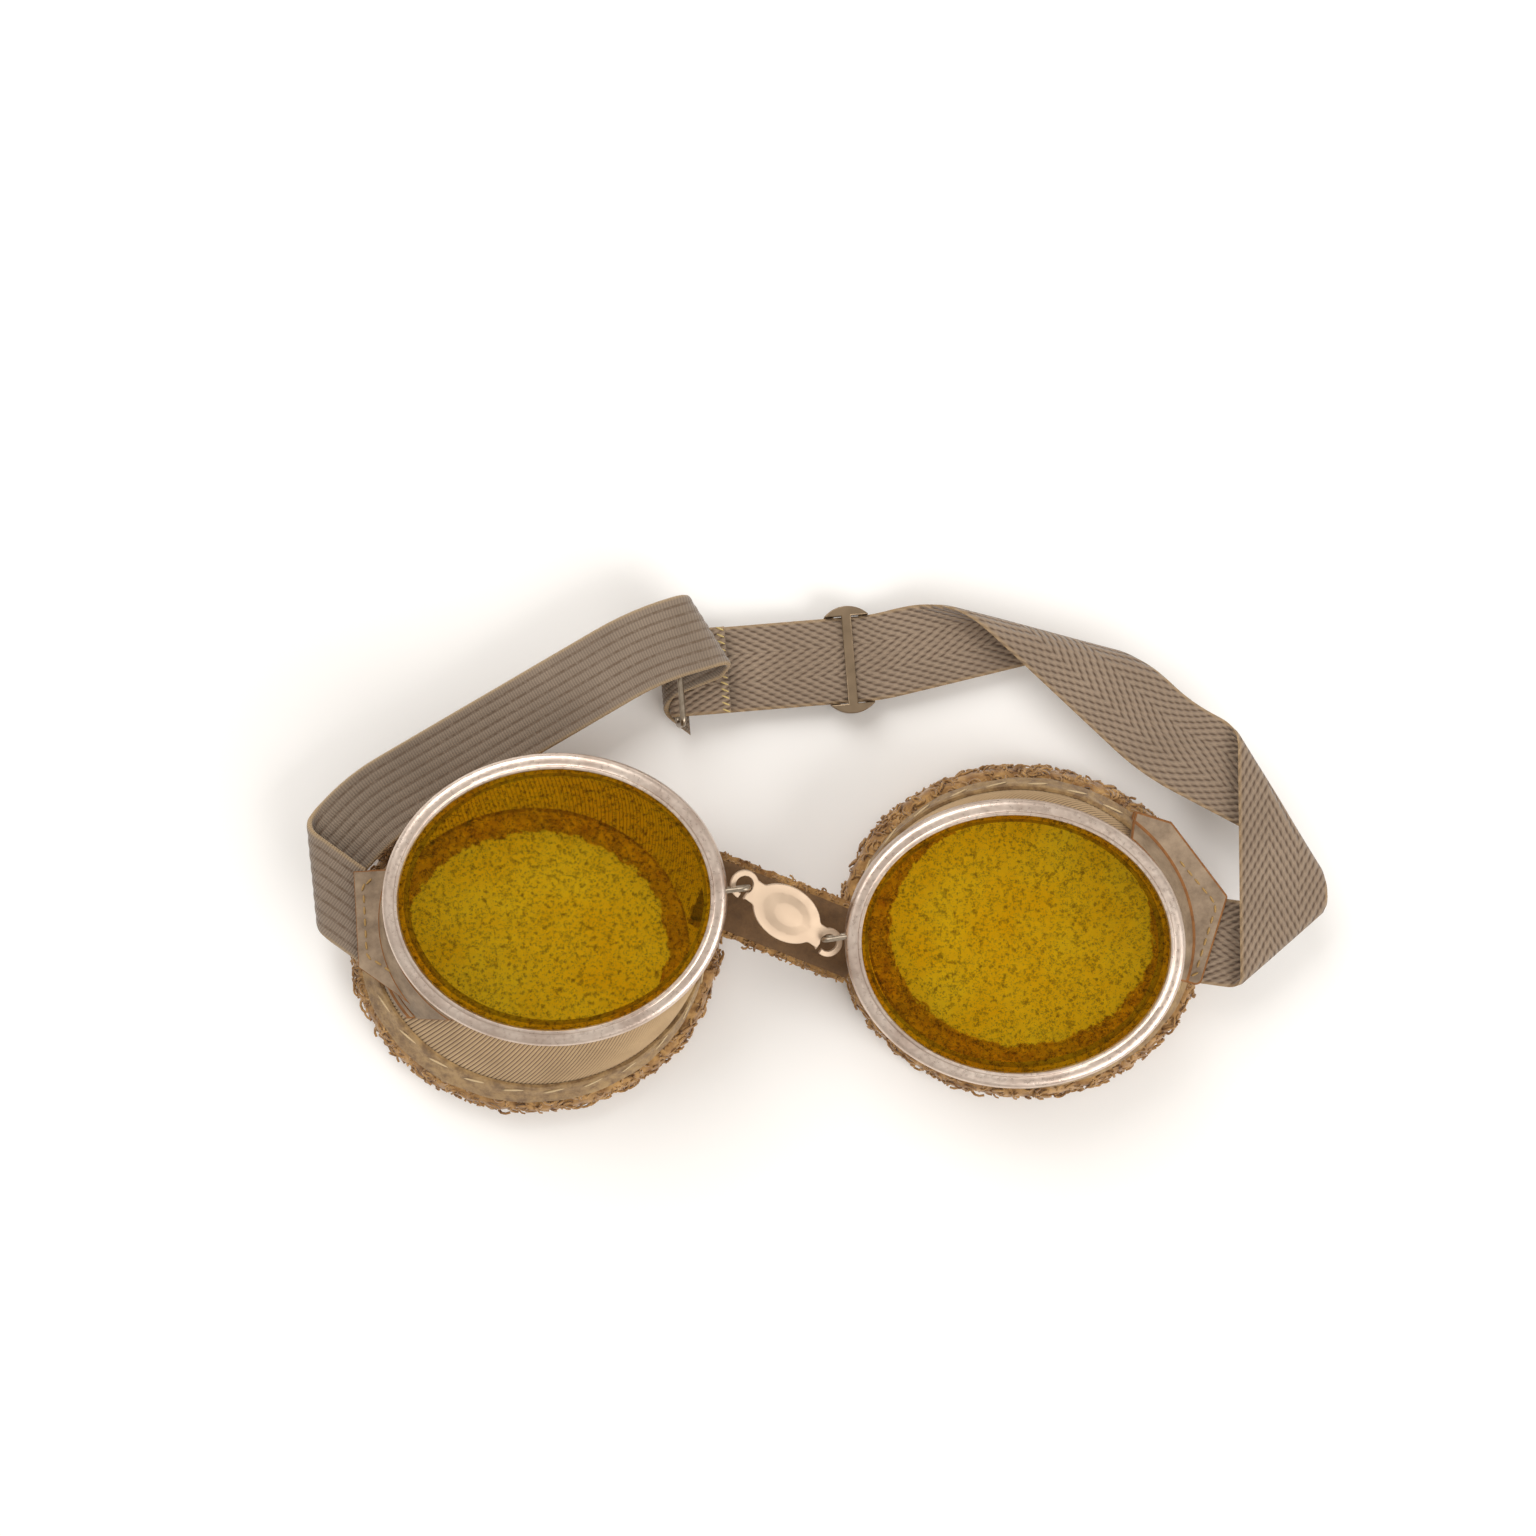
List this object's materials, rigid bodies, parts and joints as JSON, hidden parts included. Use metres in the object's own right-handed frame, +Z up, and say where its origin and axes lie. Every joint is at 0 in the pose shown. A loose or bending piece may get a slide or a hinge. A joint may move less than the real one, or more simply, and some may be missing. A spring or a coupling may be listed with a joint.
{
  "type": "aviator goggles",
  "caption": "Flying goggles with oval amber lenses in metal rims, soft padded cups on a hinged bridge plate, and a folded head strap with a slider.",
  "frame": {"origin": "on the floor, below the middle of the whole set as it lies folded", "axes": "+Z up and out of the lenses, +X from the left cup to the right cup, +Y towards the folded strap"},
  "size_m": [0.2046, 0.1058, 0.0353],
  "materials": {
    "rim_metal": "satin",
    "amber_lens": "clear",
    "gasket_rubber": "matt",
    "inner_metal": "satin",
    "ribbed_cloth": "ribbed",
    "band_leather": "suede",
    "plush": "chenille pile",
    "tab_leather": "worn",
    "loop_wire": "satin",
    "plate_metal": "satin",
    "nose_leather": "worn",
    "nose_pile": "raised pile",
    "elastic_knit": "ribbed elastic",
    "herringbone": "herringbone weave",
    "slider_metal": "satin, tarnished"
  },
  "bodies": {
    "bridge": {"bridge_plate": "plate_metal", "nose_strap": "nose_leather", "nose_strap_lining": "nose_pile", "elastic_band": "elastic_knit", "webbing_strap": "herringbone"},
    "left_cup": {"left_rim": "rim_metal", "left_lens": "amber_lens", "left_gasket": "gasket_rubber", "left_clamp_ring": "inner_metal", "left_side_wall": "ribbed_cloth", "left_base_band": "band_leather", "left_face_pad": "plush", "left_tab": "tab_leather", "left_tab_lining": "tab_leather", "left_wire_loop": "loop_wire"},
    "right_cup": {"right_rim": "rim_metal", "right_lens": "amber_lens", "right_gasket": "gasket_rubber", "right_clamp_ring": "inner_metal", "right_side_wall": "ribbed_cloth", "right_base_band": "band_leather", "right_face_pad": "plush", "right_tab": "tab_leather", "right_tab_lining": "tab_leather", "right_wire_loop": "loop_wire"},
    "link": {"wire_link": "loop_wire"},
    "slider": {"slider": "slider_metal"}
  },
  "joints": [
    {"name": "left_cup_hinge", "type": "hinge", "parent": "bridge", "child": "left_cup", "pos_m": [-0.01362, -0.00541, 0.0316], "axis": [-0.1219, 0.9925, 0], "range_deg": [-6, 24], "deforming": ["elastic_band", "nose_strap", "nose_strap_lining"]},
    {"name": "right_cup_hinge", "type": "hinge", "parent": "bridge", "child": "right_cup", "pos_m": [0.00106, -0.01588, 0.0256], "axis": [0.1478, -0.989, 0], "range_deg": [-6, 10], "deforming": ["webbing_strap"]},
    {"name": "link_hinge", "type": "hinge", "parent": "bridge", "child": "link", "pos_m": [-0.02906, 0.03688, 0.00575], "axis": [-0.0819, 0.9966, 0], "range_deg": [-4, 18]},
    {"name": "slider_slide", "type": "slide", "parent": "bridge", "child": "slider", "axis": [0.9966, 0.0819, 0], "range_m": [-0.016, 0.002]}
  ]
}
